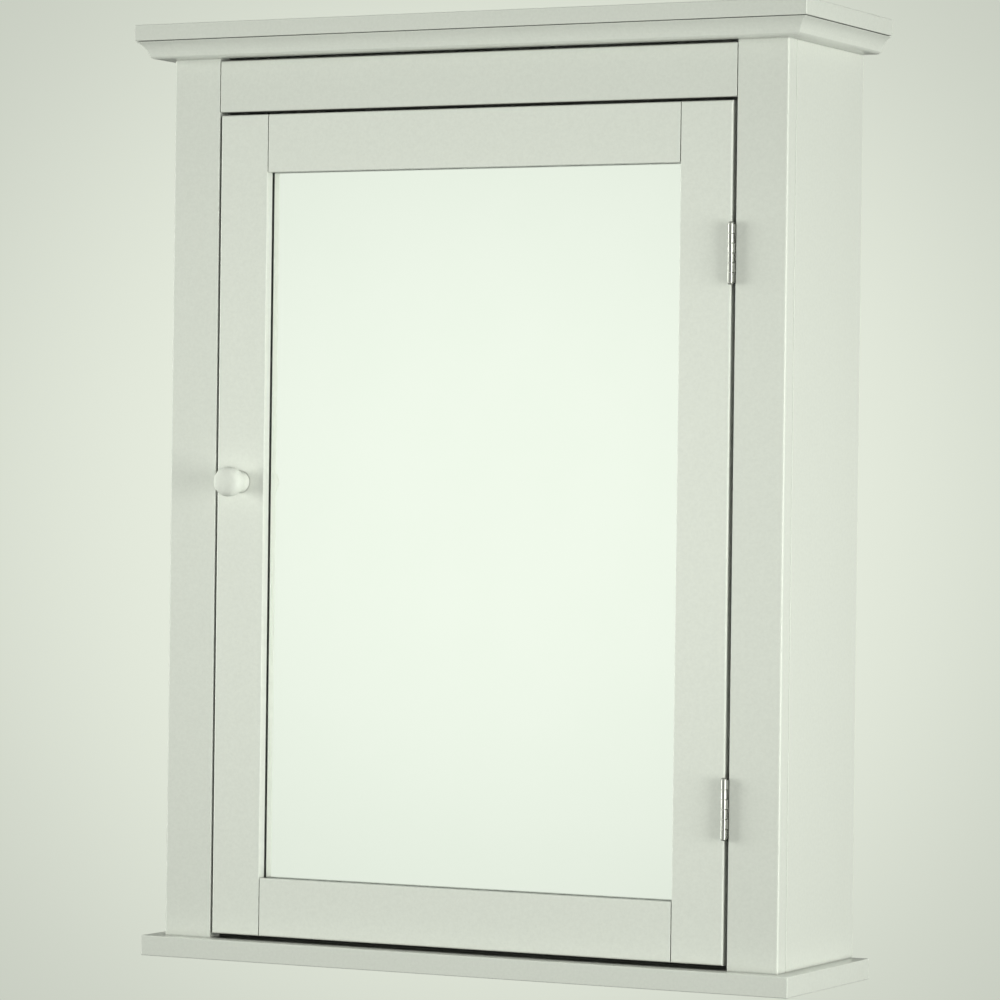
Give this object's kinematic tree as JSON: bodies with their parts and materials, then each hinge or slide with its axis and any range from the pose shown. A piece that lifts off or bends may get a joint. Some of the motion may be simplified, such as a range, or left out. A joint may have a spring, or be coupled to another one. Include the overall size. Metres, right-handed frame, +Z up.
{
  "type": "hanging wall cabinet",
  "caption": "Wall-hung bathroom cabinet: an inset framed mirror door on exposed butt hinges, a small knob, an overhanging top with cove moulding, a projecting base board and inner shelves.",
  "frame": {"origin": "midway between the two wall-screw holes, on the wall plane at the cabinet's back", "axes": "+X to the right along the wall seen from the front, +Y into the wall (the door faces -Y), +Z up"},
  "size_m": [0.545, 0.1618, 0.696],
  "materials": {
    "painted_board": "satin white paint on fibreboard",
    "painted_back": "white lacquer on thin hardboard",
    "hardboard": "bare hardboard",
    "beech_dowel": "bare fluted beech",
    "mirror_glass": "silvered float glass",
    "nickel_hinge": "bright nickel plate",
    "nickel_peg": "satin nickel plate",
    "zinc_steel": "zinc-plated steel",
    "bare_steel": "plain pressed steel",
    "white_plastic": "moulded white plastic",
    "ferrite": "dark sintered ferrite",
    "knob_paint": "white gloss paint on turned wood"
  },
  "bodies": {
    "carcass": {"back_panel": "painted_back", "back_panel_nails": "zinc_steel", "base_board": "painted_board", "base_board_screws": "zinc_steel", "catch_housing": "white_plastic", "catch_magnet": "ferrite", "catch_pole_plates": "bare_steel", "catch_screws": "zinc_steel", "crown_moulding_front": "painted_board", "crown_moulding_left": "painted_board", "crown_moulding_right": "painted_board", "face_stile_dowels": "beech_dowel", "face_stile_left": "painted_board", "face_stile_right": "painted_board", "face_top_rail": "painted_board", "fixed_shelf": "painted_board", "fixed_shelf_dowels": "beech_dowel", "hanging_rail": "painted_board", "hanging_rail_dowels": "beech_dowel", "hinge_frame_screws": "nickel_hinge", "hinge_lower_frame_leaf": "nickel_hinge", "hinge_lower_pin": "nickel_hinge", "hinge_upper_frame_leaf": "nickel_hinge", "hinge_upper_pin": "nickel_hinge", "shelf_pegs": "nickel_peg", "side_panel_left": "painted_board", "side_panel_right": "painted_board", "top_board": "painted_board", "top_board_screws": "zinc_steel", "top_rail_dowels": "beech_dowel"},
    "door": {"door_frame_dowels": "beech_dowel", "door_rail_bottom": "painted_board", "door_rail_top": "painted_board", "door_stile_left": "painted_board", "door_stile_right": "painted_board", "hinge_door_screws": "nickel_hinge", "hinge_lower_door_leaf": "nickel_hinge", "hinge_upper_door_leaf": "nickel_hinge", "knob": "knob_paint", "knob_screw": "zinc_steel", "mirror_backing": "hardboard", "mirror_clip_screws": "zinc_steel", "mirror_clips": "bare_steel", "mirror_glass": "mirror_glass", "strike_plate": "bare_steel", "strike_screw": "zinc_steel"},
    "shelf_lower": {"shelf_lower": "painted_board"},
    "shelf_upper": {"shelf_upper": "painted_board"}
  },
  "joints": [
    {"name": "door_swing", "type": "hinge", "parent": "carcass", "child": "door", "pos_m": [0.2087, -0.1392, -0.3306], "axis": [0, 0, 1], "range_deg": [0, 170]},
    {"name": "shelf_lower_lift", "type": "slide", "parent": "carcass", "child": "shelf_lower", "axis": [0, 0, 1], "range_m": [0, 0.02]},
    {"name": "shelf_upper_lift", "type": "slide", "parent": "carcass", "child": "shelf_upper", "axis": [0, 0, 1], "range_m": [0, 0.02]}
  ]
}
